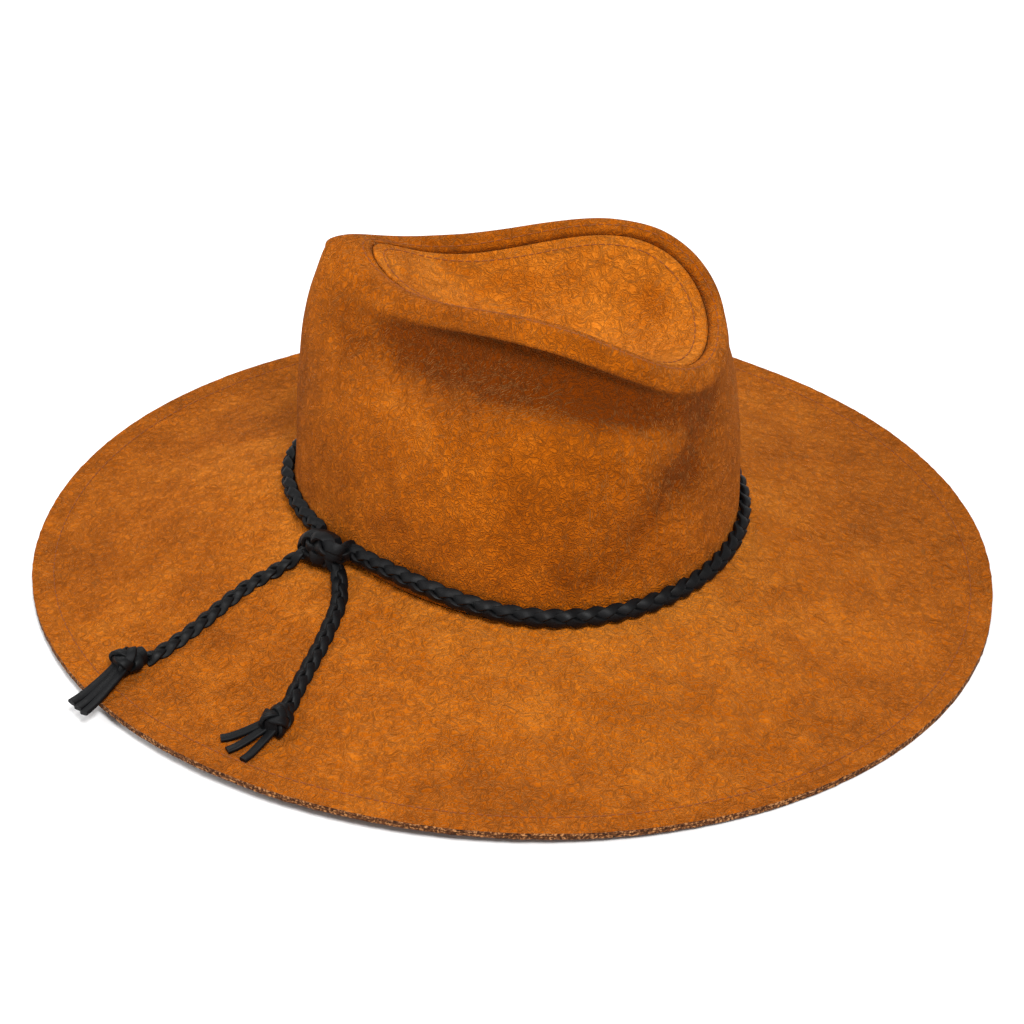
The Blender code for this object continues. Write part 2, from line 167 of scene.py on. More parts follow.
# Tones in the suede's colour: how much painted shade darkens the fold and the groove, how much painted light
# pales the tip, how much paler the brim's inner part is, and how much and over what length the brim's patches
# vary
FOLD_PAINTED_SHADE = 0.72
GROOVE_PAINTED_SHADE = 0.30
TIP_PAINTED_LIGHT = 0.20
INNER_BRIM_TONE = 0.20
BRIM_PATCH_TONE = 0.05
BRIM_PATCH_SIZE = 0.05

# Fineness of the shown suede, and the angle from which its edges are sharp
AROUND = 420
WALL_STEPS = 7
TIP_STEPS = 9
BRIM_STEPS = 8
SUEDE_SHARP = 60.0

# Stitches: size, then how far the rows lie from the seam and the rim
STITCH_PITCH = 0.0034
STITCH_LENGTH = 0.0026
STITCH_THICKNESS = 0.0005
STITCH_RINGS = 5
STITCH_ENDS = (0.06, 0.94)
OUTER_STITCH = 0.0046
INNER_STITCH = 0.0055
RIM_STITCH = 0.0095
# Ring of the brim's top, counted from the rim, whose normals the rim's stitches take
RIM_STITCH_RING = 6

# Cord: the band, the knot, the end knots and their strips, and the laces they are made of
BAND_HEIGHT = 0.0090
BAND_THICKNESS = 0.0055
BAND_RISE = 0.0045
BAND_RISE_ANGLE = -98.0
BAND_RISE_SPREAD = 17.0
CORD_DIAMETER = 0.0076
KNOT_ANGLE = -120.5
KNOT_TILT = 15.0
KNOT_LENGTH = 0.028
KNOT_HEIGHT = 0.015
KNOT_THICKNESS = 0.014
KNOT_PLAIT_WIDTH = 0.0116
KNOT_LACE = 0.0050
KNOT_PLAIT_LENGTH = 0.025
END_KNOT_LENGTH = 0.017
END_KNOT_HEIGHT = 0.011
STRIP_WIDTH = 0.0038
STRIP_THICKNESS = 0.0018
LACE_THICKNESS = 0.0019
BAND_LACE = 0.0043
TAIL_LACE = 0.0038
PLAIT_LENGTH = 0.026
TAIL_PLAIT_LENGTH = 0.023
# Angle in radians at which the plaits of the loose ends start
TAIL_TURN = 1.0
STRANDS = 3
LACE_ROLL = 0.75
LACE_LIFT = 0.60
LACE_CORNERS = 12
LACE_SQUARENESS = (0.45, 0.55)
LACE_SHARP = 50.0
# Fineness of the cord: steps between the points of a route, spacing on it, points of the band's line and of
# its plait
ROUTE_STEPS = 12
TAIL_SPACING = 0.0012
KNOT_SPACING = 0.0009
BAND_LINE_POINTS = 721
BAND_POINTS = 460
# Share of the knot's length where the band ends in it, upward part of the way the band faces, and height of
# a loose end's middle over the brim as a share of a lace's thickness
BAND_START = 0.3
BAND_FACING_UP = 0.25
TAIL_REST = 1.15

# Routes of the two loose ends over the brim, from the knot: along X, along Y, lift off the brim
FRONT_ROUTE = (
    (-0.0630, -0.0755, 0.0036),
    (-0.0665, -0.0785, 0.0024),
    (-0.0700, -0.0820, 0.0012),
    (-0.0735, -0.0860, 0.0004),
    (-0.0785, -0.0920, 0.0),
    (-0.0825, -0.1000, 0.0),
    (-0.0855, -0.1080, 0.0),
    (-0.0885, -0.1170, 0.0),
    (-0.0915, -0.1250, 0.0),
    (-0.0950, -0.1335, 0.0),
    (-0.0985, -0.1415, 0.0),
    (-0.1015, -0.1460, 0.0),
)
BACK_ROUTE = (
    (-0.0445, -0.0810, 0.0022),
    (-0.0425, -0.0840, 0.0014),
    (-0.0405, -0.0875, 0.0006),
    (-0.0385, -0.0915, 0.0),
    (-0.0365, -0.0970, 0.0),
    (-0.0350, -0.1040, 0.0),
    (-0.0340, -0.1120, 0.0),
    (-0.0330, -0.1200, 0.0),
    (-0.0325, -0.1280, 0.0),
    (-0.0320, -0.1370, 0.0),
    (-0.0315, -0.1460, 0.0),
    (-0.0305, -0.1545, 0.0),
    (-0.0300, -0.1605, 0.0),
)
FRONT_STRIPS = ((-0.1165, -0.1810), (-0.1120, -0.1835), (-0.1080, -0.1855))
BACK_STRIPS = ((-0.0483, -0.1804), (-0.0425, -0.1860), (-0.0340, -0.1890))
# Lace wound round an end knot: turns, waves in each turn, points, radii aside and upward, reach of the waves
# along the cord, how far it weaves in and out, and its width
WRAP_TURNS = 3
WRAP_WAVES = 4.0 / 3.0
WRAP_POINTS = 150
WRAP_ASIDE = 0.0046
WRAP_UP = 0.0037
WRAP_REACH = 0.0036
WRAP_WEAVE = 0.0009
WRAP_LACE = 0.0040
# Cores of an end knot and of the knot: ends along the cord, width, thickness, ends of its rounding
CORE_RINGS = 12
END_CORE = (-0.0085, 0.0048)
END_CORE_SIZE = (0.0080, 0.0066)
END_CORE_ENDS = (0.15, 0.85)
KNOT_CORE = (-0.010, 0.010)
KNOT_CORE_SIZE = (0.0110, 0.0100)
KNOT_CORE_ENDS = (0.1, 0.9)
# Free strips of an end knot: rings, distance apart, roll, and the share of the length and the power with
# which they come down to the brim
STRIP_RINGS = 24
STRIP_APART = 0.0022
STRIP_ROLL = 0.15
STRIP_DROP = 0.85
STRIP_DROP_POWER = 1.4

# Middle lines of the tied ends in millimetres from the knot's middle: along the band, outward, across
OVER_LOOP = (
    (-15.0, -5.0, -3.0),
    (-14.0, -1.0, -4.6),
    (-11.5, 3.2, -3.4),
    (-7.5, 5.2, 0.2),
    (-1.5, 5.4, 2.8),
    (5.0, 5.0, 3.4),
    (10.0, 3.8, 1.2),
    (12.0, 0.5, -2.4),
    (10.5, -5.0, -4.0),
)
UNDER_LOOP = (
    (10.0, -6.0, -2.0),
    (11.5, -1.0, -2.2),
    (8.5, 4.2, -3.2),
    (2.5, 5.8, -4.4),
    (-3.5, 5.4, -4.8),
    (-8.5, 3.2, -4.6),
    (-11.5, -1.0, -4.0),
    (-12.0, -5.0, -2.0),
)
# Angles in radians at which the plaits of the tied ends start
OVER_TURN = 0.5
UNDER_TURN = 2.0
# First points of the loose ends inside the knot, from the knot's middle in millimetres
FRONT_ROOT = (-4.5, 3.0, -1.5)
BACK_ROOT = (6.5, 4.5, 1.0)
# Weights that turn a place in the knot into the way its laces face, and what is added to it
KNOT_FACING = (0.15, 1.0, 1.0)
KNOT_LIFT = (0.0, 0.0008, 0.0002)

# Colours, dark to pale
TAN_TONES = ((0.140, 0.025, 0.000), (0.380, 0.088, 0.002), (0.64, 0.190, 0.014))
UNDER_TONES = ((0.060, 0.020, 0.008), (0.150, 0.055, 0.020), (0.260, 0.110, 0.045))
EDGE_TONES = ((0.030, 0.012, 0.006), (0.110, 0.038, 0.014), (0.420, 0.190, 0.070))
LEATHER_TONES = ((0.0012, 0.0013, 0.0016), (0.0028, 0.0030, 0.0036), (0.0070, 0.0074, 0.0084))
THREAD_COLOUR = (0.21, 0.052, 0.004)
FLOOR_COLOUR = (0.93, 0.93, 0.93)
SHEEN_TINT = (1.0, 0.50, 0.16, 1.0)
# Where each colour sits between nothing and one
SUEDE_STOPS = (0.15, 0.50, 0.85)
EDGE_STOPS = (0.38, 0.52, 0.66)
LEATHER_STOPS = (0.30, 0.62, 0.90)
# Noises: scale, detail, distortion
SWIRL_NOISE = (260.0, 1.0, 0.6)
NAP_NOISE = (800.0, 2.0, 1.0)
BLOTCH_NOISE = (70.0, 4.0, 0.5)
PATCH_NOISE = (20.0, 2.0, 0.3)
SPECK_NOISE = (900.0, 3.0, 0.6)
GRAIN_NOISE = (1800.0, 4.0, 0.2)
LEATHER_PATCH_NOISE = (160.0, 2.0, 0.3)
# The nap: how finely the swirl is drawn into curls, shares of the curls and the fine noise, base, depth
CURL_LINES = 64.0
NAP_CURLS = 0.30
NAP_FINE = 0.8
NAP_BASE = 0.1
NAP_DEPTH = 0.0014
# Shares of the blotches, the patches and the nap in the suede's tone, and its base; the nap's share paints
# highlights on the curls' crests and shade between them
TONE_BLOTCH = 0.42
TONE_PATCH = 0.40
TONE_NAP_HIGHLIGHT = 0.17
TONE_BASE = -0.05
# Strength of the nap and sheen of the suede's upper and under side
TAN_NAP = 0.85
TAN_SHEEN = 0.16
UNDER_NAP = 0.8
UNDER_SHEEN = 0.08
SHEEN_ROUGHNESS = 0.40
SUEDE_SPECULAR = 0.05
EDGE_SPECULAR = 0.1
# Leather: share of the grain in the tone, scale of the tone, strength and depth of the grain, gloss, and
# roughness where the patches are low and high
LEATHER_GRAIN = 0.35
LEATHER_TONE = 0.74
GRAIN_STRENGTH = 0.35
GRAIN_DEPTH = 0.0002
LEATHER_SPECULAR = 0.16
LEATHER_ROUGHNESS = ((0.3, (0.46,) * 3), (0.7, (0.62,) * 3))
MATT = 0.9

# Stage: name, place, size and power of each light
LIGHTS = (
    ("key", (0.82, -1.12, 1.70), 0.6, 48.0),
    ("fill", (-1.20, -0.90, 1.20), 0.8, 12.0),
    ("back", (-0.9, 1.0, 1.6), 1.0, 14.0),
)
WORLD_STRENGTH = 0.46
FLOOR_SIZE = 8.0
FLOOR_LEVEL = -0.0002

UP = np.array([0.0, 0.0, 1.0])
MILLIMETRE = 0.001
SMALL_TURN = 1e-4
NOT_ZERO = 1e-12


# Shape of the crown and the brim

def around(values, angle):
    """Smooth value at an angle from values at the stations, the same on both sides."""
    orders = range(len(STATIONS))
    cosines = [[math.cos(order * math.radians(station)) for order in orders] for station in STATIONS]
    parts = np.linalg.solve(np.array(cosines), np.array(values))
    return sum(part * np.cos(order * angle) for order, part in enumerate(parts))


def oval(length, width, taper, nose, shift, angle):
    """Plan of an egg shape whose narrow end is the front, with its ends made blunter by nose."""
    along = shift + 0.5 * length * np.cos(angle)
    swell = 1.0 + taper * np.cos(angle) + nose * np.cos(2.0 * angle)
    across = 0.5 * width * np.sin(angle) * swell
    return np.stack([along, across], axis=-1)


def bump(angle, centre, spread):
    """One at a direction in degrees and nothing beyond a few spreads of it."""
    away = (np.degrees(angle) - centre + 180.0) % 360.0 - 180.0
    return np.exp(-0.5 * (away / spread) ** 2)


def points(plan, height):
    return np.concatenate([plan, height[..., None]], axis=-1)


def base_plan(angle):
    return oval(BASE_LENGTH, BASE_WIDTH, BASE_TAPER, 0.0, 0.0, angle)


def brim_top_at_crown(angle):
    return BASE_HEIGHT - BASE_TILT * np.cos(angle)


def rise_from_base(values, angle, lean, across):
    """Height of a ring from its shares of the crown's height at the stations, its right side raised by lean."""
    level = brim_top_at_crown(angle) + GAP + CROWN_HEIGHT * around(values, angle)
    return level + lean * across / RIDGE_WIDTH


def wall_rows(angle):
    """Rings of the crown's outer face from the brim up to the ridge."""
    ridge_flat = oval(RIDGE_LENGTH, RIDGE_WIDTH, RIDGE_TAPER, RIDGE_NOSE, RIDGE_SHIFT, angle)
    base_flat = base_plan(angle)
    start = brim_top_at_crown(angle) + GAP
    top = rise_from_base(RIDGE_HEIGHTS, angle, RIDGE_LEAN, ridge_flat[..., 1])
    rows = []
    for share, lengthwise, sideways in WALL_ROWS:
        blend = (lengthwise * np.cos(angle) ** 2 + sideways * np.sin(angle) ** 2)[..., None]
        plan = (1.0 - blend) * base_flat + blend * ridge_flat
        inward = -plan / np.linalg.norm(plan, axis=-1, keepdims=True)
        depth = np.zeros_like(angle)
        for centre, height_share, depth_share, spread, height_spread in DENTS:
            fade = math.exp(-0.5 * ((share - height_share) / height_spread) ** 2)
            depth = depth + BASE_WIDTH * depth_share * fade * bump(angle, centre, spread)
        rows.append(points(plan + inward * depth[..., None], start + share * (top - start)))
    return rows


def crown_rows(angle):
    """Rings of the outer face over the ridge to the seam, and those of the tip."""
    wall = wall_rows(angle)
    ridge = wall[-1]
    seam_flat = oval(SEAM_LENGTH, SEAM_WIDTH, SEAM_TAPER, SEAM_NOSE, SEAM_SHIFT, angle)
    seam = points(seam_flat, rise_from_base(SEAM_HEIGHTS, angle, SEAM_LEAN, seam_flat[..., 1]))
    crest = [ridge + share * (seam - ridge) + swell * CROWN_WALL * UP for share, swell in CREST_ROWS]
    centre = seam.mean(axis=0)
    tip = [centre + share * (seam - centre) - depth * TIP_DEPTH * UP for share, depth in TIP_ROWS]
    return np.array(wall + crest), np.array([seam] + tip)


def brim_bottom_height(angle, share):
    """Height of the brim's underside at a share of the way from the crown to the rim."""
    shares, drops = zip(*BRIM_ROWS)
    start = brim_top_at_crown(angle) - 2.0 * LAYER_THICKNESS - GAP
    rim = 0.5 * RIM_SADDLE * (1.0 - np.cos(2.0 * angle)) - RIM_SINK
    wave = sum(WAVE_HEIGHT * part * bump(angle, centre, spread) for centre, spread, part in BRIM_WAVES)
    height = start + np.interp(share, shares, drops) * (rim - start) + share * wave
    return np.maximum(height, 0.0)


def brim_rows(angle, lift):
    """Rings of a face of the brim from the crown's foot out to the rim."""
    rim_flat = oval(BRIM_LENGTH, BRIM_WIDTH, BRIM_TAPER, 0.0, 0.0, angle)
    rows = []
    for share, _ in BRIM_ROWS:
        plan = (1.0 - share) * base_plan(angle) + share * rim_flat
        rows.append(points(plan, brim_bottom_height(angle, share) + lift))
    return np.array(rows)


def smooth_step(value):
    """Nothing to one, with a smooth start and end."""
    value = np.clip(value, 0.0, 1.0)
    return value * value * (3.0 - 2.0 * value)


def segment_distance(places, start, end):
    """Distance of each place from the straight line between two points."""
    line = end - start
    share = np.clip(((places - start) @ line) / (line @ line), 0.0, 1.0)
    return np.linalg.norm(places - start - share[..., None] * line, axis=-1)


def push_folds(side, wall_rings, angle):
    """The crown's side with its fold, creases and unevenness pushed in along its normals."""
    heights = [row[0] for row in WALL_ROWS]
    share = np.interp(np.arange(len(side)), np.arange(len(WALL_ROWS)) * WALL_STEPS, heights)[:, None]
    normals = grid_normals(side)
    edge, softness = FOLD_EDGE
    fold = smooth_step((edge - share) / softness)
    foot, softness = FOLD_FOOT
    fold = fold * np.exp(-0.5 * (np.maximum(foot - share, 0.0) / softness) ** 2)
    depth = FOLD_DEPTH * fold * bump(angle, FOLD_ANGLE, FOLD_SPREAD)
    for from_angle, from_share, to_angle, to_share, width, crease_depth in CREASES:
        ends = []
        for where, level in ((from_angle, from_share), (to_angle, to_share)):
            column = int(round(where / 360.0 * AROUND)) % AROUND
            row = int(np.argmin(np.abs(share[:wall_rings, 0] - level)))
            ends.append(side[row, column])
        away = segment_distance(side, *ends)
        depth = depth + crease_depth * np.exp(-0.5 * (away / width) ** 2)
    after_ridge = np.arange(len(side))[:, None] - wall_rings
    still = smooth_step(share / WALL_FADE) * smooth_step(1.0 - after_ridge / (len(side) - 1.0 - wall_rings))
    return side + normals * (unevenness(side, WALL_UNEVEN) * still - depth)[..., None], depth


def refine(rows, steps):
    """More rings between the given ones, on a smooth curve through them."""
    first = 2.0 * rows[:1] - rows[1:2]
    last = 2.0 * rows[-1:] - rows[-2:-1]
    padded = np.concatenate([first, rows, last])
    made = []
    for i in range(len(rows) - 1):
        before, start, end, after = padded[i:i + 4]
        for t in np.arange(steps) / steps:
            made.append(0.5 * (2.0 * start + (end - before) * t
                               + (2.0 * before - 5.0 * start + 4.0 * end - after) * t ** 2
                               + (3.0 * start - before - 3.0 * end + after) * t ** 3))
    return np.array(made + [rows[-1]])


def ring_angles():
    return np.arange(AROUND) * 2.0 * math.pi / AROUND


def grid_normals(rows):
    """Unit normals of a grid of closed rings."""
    along = np.roll(rows, -1, axis=1) - np.roll(rows, 1, axis=1)
    across = np.gradient(rows, axis=0)
    normals = np.cross(along, across)
    return unit(normals)


def unit(vectors):
    """The same directions with a length of one."""
    return vectors / np.maximum(np.linalg.norm(vectors, axis=-1, keepdims=True), NOT_ZERO)


def distances_along(line):
    """Distance travelled along a line at each of its points."""
    return np.concatenate([[0.0], np.cumsum(np.linalg.norm(np.diff(line, axis=0), axis=1))])


def values_at(places, travelled, values):
    """Values of a line's points at other distances along it."""
    return np.stack([np.interp(places, travelled, values[:, axis]) for axis in range(3)], axis=1)


def rounding(ends, count):
    """Sizes along a short piece that is thickest in its middle, from one share of its round to another."""
    return np.sin(np.pi * np.linspace(*ends, count)) ** 0.5


def waviness(places, size, seed):
    """Smooth noise at each place, between minus one and one, with waves about size long."""
    flat = places.reshape(-1, 3) / size + seed
    values = [noise.noise(Vector(place)) for place in flat]
    return np.array(values).reshape(places.shape[:-1])


def unevenness(places, waves):
    """Sum of waves at each place, each with its height, length and seed."""
    return sum(height * waviness(places, size, seed) for height, size, seed in waves)


# Meshes

def mesh_object(name, vertices, faces, materials, face_materials=None):
    """New smooth object. The face materials count from nothing in the materials."""
    mesh = bpy.data.meshes.new(name)
    mesh.from_pydata(vertices.tolist(), [], faces)
    for material in materials:
        mesh.materials.append(material)
    if face_materials is not None:
        mesh.polygons.foreach_set("material_index", face_materials)
    mesh.shade_smooth()
    piece = bpy.data.objects.new(name, mesh)
    bpy.context.scene.collection.objects.link(piece)
    return piece


def ring_quads(first, second, count):
    """Quads between two closed rings of vertices, counted from the first of each."""
    here = np.arange(count)
    there = (here + 1) % count
    return np.stack([first + here, first + there, second + there, second + here], axis=1)


def shell(name, outer, inner, materials, edge_material=0, closed=False):
    """Wall between two grids of rings. Its first and last edges take the edge material."""
    rings, count = outer.shape[:2]
    other = rings * count
    quads = []
    for row in range(rings - 1):
        quads.append(ring_quads(row * count, (row + 1) * count, count))
        quads.append(ring_quads(other + (row + 1) * count, other + row * count, count))
    faces = np.concatenate(quads)
    edges = [ring_quads(other, 0, count)]
    if not closed:
        edges.append(ring_quads((rings - 1) * count, other + (rings - 1) * count, count))
    edges = np.concatenate(edges)
    vertices = np.concatenate([outer.reshape(-1, 3), inner.reshape(-1, 3)])
    marks = np.concatenate([np.zeros(len(faces), int), np.full(len(edges), edge_material)])
    piece = mesh_object(name, vertices, np.concatenate([faces, edges]).tolist(), materials, marks)
    piece.data.set_sharp_from_angle(angle=math.radians(SUEDE_SHARP))
    return piece


def finish_piece(piece, slot_name, *nodes):
    """Ties a piece to the hat's one body and hides the solids that it stands for."""
    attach(piece, "root")
    if nodes:
        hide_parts(*nodes)
    return piece


# Materials

def new_material(name):
    material = bpy.data.materials.new(name)
    material.use_nodes = True
    return material, material.node_tree.nodes, material.node_tree.links


def noise_node(nodes, links, place, scale, detail, distortion):
    made = nodes.new("ShaderNodeTexNoise")
    made.inputs["Scale"].default_value = scale
    made.inputs["Detail"].default_value = detail
    made.inputs["Distortion"].default_value = distortion
    links.new(place, made.inputs["Vector"])
    return made.outputs["Fac"]


def math_node(nodes, links, operation, first, second=None, third=None):
    made = nodes.new("ShaderNodeMath")
    made.operation = operation
    for socket, value in zip(made.inputs, (first, second, third)):
        if value is None:
            continue
        if isinstance(value, (int, float)):
            socket.default_value = value
        else:
            links.new(value, socket)
    return made.outputs["Value"]


def bump_node(nodes, links, shader, height, strength, depth):
    made = nodes.new("ShaderNodeBump")
    made.inputs["Strength"].default_value = strength
    made.inputs["Distance"].default_value = depth
    links.new(height, made.inputs["Height"])
    links.new(made.outputs["Normal"], shader.inputs["Normal"])


def ramp_node(nodes, links, factor, stops):
    made = nodes.new("ShaderNodeValToRGB")
    ramp = made.color_ramp
    while len(ramp.elements) < len(stops):
        ramp.elements.new(0.5)
    for element, (place, colour) in zip(ramp.elements, stops):
        element.position = place
        element.color = (*colour, 1.0)
    links.new(factor, made.inputs["Fac"])
    return made.outputs["Color"]


def weigh(nodes, links, terms, base):
    """Sum of outputs times weights, on top of a base value."""
    total = None
    for output, weight in terms:
        added = base if total is None else total
        total = math_node(nodes, links, "MULTIPLY_ADD", output, weight, added)
    return total


def suede_material(name, tones, nap_height, sheen):
    """Napped suede: fine curling ridges, soft blotches and a faint sheen."""
    material, nodes, links = new_material(name)
    shader = nodes["Principled BSDF"]
    place = nodes.new("ShaderNodeTexCoord").outputs["Object"]
    swirl = noise_node(nodes, links, place, *SWIRL_NOISE)
    fine = noise_node(nodes, links, place, *NAP_NOISE)
    blotch = noise_node(nodes, links, place, *BLOTCH_NOISE)
    patch = noise_node(nodes, links, place, *PATCH_NOISE)
    drawn_out = math_node(nodes, links, "MULTIPLY_ADD", swirl, CURL_LINES, fine)
    curls = math_node(nodes, links, "SINE", drawn_out)
    nap = weigh(nodes, links, ((curls, NAP_CURLS), (fine, NAP_FINE)), NAP_BASE)
    # Per-vertex tone carrying painted shade and painted light (and the brim's patches), added into the colour's
    # tone
    painted_light_and_patches = nodes.new("ShaderNodeAttribute")
    painted_light_and_patches.attribute_name = "painted_light_and_patches"
    # The nap's term is a painted highlight on the curls' crests and painted shade between them
    terms = ((blotch, TONE_BLOTCH), (patch, TONE_PATCH), (nap, TONE_NAP_HIGHLIGHT), (painted_light_and_patches.outputs["Fac"], 1.0))
    tone = weigh(nodes, links, terms, TONE_BASE)
    colour = ramp_node(nodes, links, tone, tuple(zip(SUEDE_STOPS, tones)))
    links.new(colour, shader.inputs["Base Color"])
    bump_node(nodes, links, shader, nap, nap_height, NAP_DEPTH)
    shader.inputs["Roughness"].default_value = 1.0
    shader.inputs["Specular IOR Level"].default_value = SUEDE_SPECULAR
    shader.inputs["Sheen Weight"].default_value = sheen
    shader.inputs["Sheen Roughness"].default_value = SHEEN_ROUGHNESS
    shader.inputs["Sheen Tint"].default_value = SHEEN_TINT
    return material


def leather_material():
    """Matt black lace leather with a faint grain."""
    material, nodes, links = new_material("black_lace_leather")
    shader = nodes["Principled BSDF"]
    place = nodes.new("ShaderNodeTexCoord").outputs["Object"]
    grain = noise_node(nodes, links, place, *GRAIN_NOISE)
    patch = noise_node(nodes, links, place, *LEATHER_PATCH_NOISE)
    tone = math_node(nodes, links, "MULTIPLY_ADD", grain, LEATHER_GRAIN, patch)
    tone = math_node(nodes, links, "MULTIPLY", tone, LEATHER_TONE)
    colour = ramp_node(nodes, links, tone, tuple(zip(LEATHER_STOPS, LEATHER_TONES)))
    links.new(colour, shader.inputs["Base Color"])
    bump_node(nodes, links, shader, grain, GRAIN_STRENGTH, GRAIN_DEPTH)
    roughness = ramp_node(nodes, links, patch, LEATHER_ROUGHNESS)
    links.new(roughness, shader.inputs["Roughness"])
    shader.inputs["Specular IOR Level"].default_value = LEATHER_SPECULAR
    return material


def raw_edge_material():
    """Cut edge of the suede: dark and pale fibres mixed."""
    material, nodes, links = new_material("raw_suede_edge")
    shader = nodes["Principled BSDF"]
    place = nodes.new("ShaderNodeTexCoord").outputs["Object"]
    specks = noise_node(nodes, links, place, *SPECK_NOISE)
    colour = ramp_node(nodes, links, specks, tuple(zip(EDGE_STOPS, EDGE_TONES)))
    links.new(colour, shader.inputs["Base Color"])
    shader.inputs["Roughness"].default_value = 1.0
    shader.inputs["Specular IOR Level"].default_value = EDGE_SPECULAR
    return material


def plain_material(name, colour):
    material, nodes, _ = new_material(name)
    shader = nodes["Principled BSDF"]
    shader.inputs["Base Color"].default_value = (*colour, 1.0)
    shader.inputs["Roughness"].default_value = MATT
    return material


TAN = suede_material("tan_suede_nap", TAN_TONES, TAN_NAP, TAN_SHEEN)
UNDER = suede_material("under_suede_nap", UNDER_TONES, UNDER_NAP, UNDER_SHEEN)
EDGE = raw_edge_material()
THREAD = plain_material("tan_thread", THREAD_COLOUR)
LEATHER = leather_material()


def set_painted_light_and_patches(piece, values):
    """Painted shade in the fold and the seam's groove, painted light on the tip, and the brim's patches and
    paler inner part, as a value at each vertex.
    """
    attribute = piece.data.attributes.new("painted_light_and_patches", "FLOAT", "POINT")
    attribute.data.foreach_set("value", np.asarray(values, np.float32))


# Suede pieces

def groove(rows, seam):
    """Rings sunk next to the seam, and how far each point is in the groove."""
    closeness = np.exp(-(np.linalg.norm(rows - seam, axis=-1) / GROOVE_WIDTH) ** 2)
    return rows - UP * (GROOVE_DEPTH * closeness)[..., None], closeness


def build_crown():
    angle = ring_angles()
    side, tip = crown_rows(angle)
    side = refine(side, WALL_STEPS)
    tip = refine(tip, TIP_STEPS)
    side, depth = push_folds(side, (len(WALL_ROWS) - 1) * WALL_STEPS, angle)
    still = smooth_step(np.arange(len(tip))[:, None] / (TIP_FADE * TIP_STEPS))
    tip = tip + UP * (unevenness(tip, TIP_UNEVEN) * still)[..., None]
    tip[0] = side[-1]
    side, side_groove = groove(side, side[-1:])
    tip, tip_groove = groove(tip, tip[:1])
    inner = side - CROWN_WALL * grid_normals(side)
    piece = shell("crown_side_suede", side, inner, [TAN])
    # Painted shade: the fold's hollow and the seam's groove are darkened in the colour
    painted_shade = -FOLD_PAINTED_SHADE * depth / FOLD_DEPTH - GROOVE_PAINTED_SHADE * side_groove
    set_painted_light_and_patches(piece, np.concatenate([painted_shade.ravel(), np.zeros(painted_shade.size)]))
    finish_piece(piece, "tan_suede", "crown_side")
    normals = grid_normals(tip)
    normals[-1] = normals[-2].mean(axis=0)
    tip[0] += SEAM_GAP * (tip[1] - tip[0])
    piece = shell("crown_tip_suede", tip, tip - CROWN_WALL * normals, [TAN], closed=True)
    # Painted light: the tip is made paler in the colour, with painted shade along the seam's groove
    tones = (TIP_PAINTED_LIGHT - GROOVE_PAINTED_SHADE * tip_groove).ravel()
    set_painted_light_and_patches(piece, np.concatenate([tones, tones]))
    finish_piece(piece, "tan_suede", "crown_tip")
    stitch_ring("seam_stitches_outer", along_profile(side[::-1], OUTER_STITCH), grid_normals(side)[-1])
    stitch_ring("seam_stitches_inner", along_profile(tip, INNER_STITCH), grid_normals(tip)[TIP_STEPS])


def along_profile(rows, distance):
    """Ring at a distance along the surface from the first ring."""
    steps = np.linalg.norm(np.diff(rows, axis=0), axis=-1)
    travelled = np.concatenate([np.zeros((1, rows.shape[1])), np.cumsum(steps, axis=0)])
    ring = []
    for column in range(rows.shape[1]):
        place = [np.interp(distance, travelled[:, column], rows[:, column, axis]) for axis in range(3)]
        ring.append(place)
    return np.array(ring)


def stitch_ring(name, ring, normals):
    """Short stitches along a closed ring, half sunk in the surface."""
    closed = np.concatenate([ring, ring[:1]])
    normals = np.concatenate([normals, normals[:1]])
    travelled = distances_along(closed)
    count = int(travelled[-1] / STITCH_PITCH)
    shape = rounding(STITCH_ENDS, STITCH_RINGS)
    sunk = STITCH_THICKNESS * (0.5 * shape - 0.25)
    level = np.zeros(STITCH_RINGS)
    made = []
    for i in range(count):
        places = i * travelled[-1] / count + np.linspace(0.0, STITCH_LENGTH, STITCH_RINGS)
        places = places % travelled[-1]
        facing = unit(values_at(places, travelled, normals))
        line = values_at(places, travelled, closed) + facing * sunk[:, None]
        made.append(lace(line, facing, STITCH_THICKNESS, STITCH_THICKNESS, level, shape))
    finish_piece(laces_object(name, made, [THREAD]), "tan_suede")


def build_brim():
    angle = ring_angles()
    level = refine(brim_rows(angle, 0.0), BRIM_STEPS)
    share = np.linspace(0.0, 1.0, len(level))[:, None]
    uneven = unevenness(level, BRIM_UNEVEN) * smooth_step(share / BRIM_FADE)
    off_ground = smooth_step((level[..., 2] - RESTING_HEIGHT) / RESTING_FADE)
    ripple = UP * (uneven * off_ground)[..., None]
    outward = unit(level[-1] - level[-2])
    frayed = np.zeros_like(level)
    frayed[-1] = outward * unevenness(level[-1:], RIM_FRAY)[0][:, None]
    for name, node, low, material, slot_name, seed in (
        ("brim_under_suede", "brim_under", 0.0, UNDER, "dark_suede", 43.0),
        ("brim_upper_suede", "brim_upper", LAYER_THICKNESS + GAP, TAN, "tan_suede", 47.0),
    ):
        bottom = refine(brim_rows(angle, low), BRIM_STEPS) + ripple + frayed
        top = refine(brim_rows(angle, low + LAYER_THICKNESS), BRIM_STEPS) + ripple + frayed
        piece = shell(name, top[::-1], bottom[::-1], [material, EDGE], 1)
        patches = BRIM_PATCH_TONE * waviness(top, BRIM_PATCH_SIZE, seed)
        tones = patches + INNER_BRIM_TONE * (1.0 - share) ** 2
        set_painted_light_and_patches(piece, np.concatenate([tones[::-1].ravel(), tones[::-1].ravel()]))
        finish_piece(piece, slot_name, node)
        if material is TAN:
            facing = -grid_normals(top)[-RIM_STITCH_RING]
            stitch_ring("brim_stitches", along_profile(top[::-1], RIM_STITCH), facing)


# Plaits

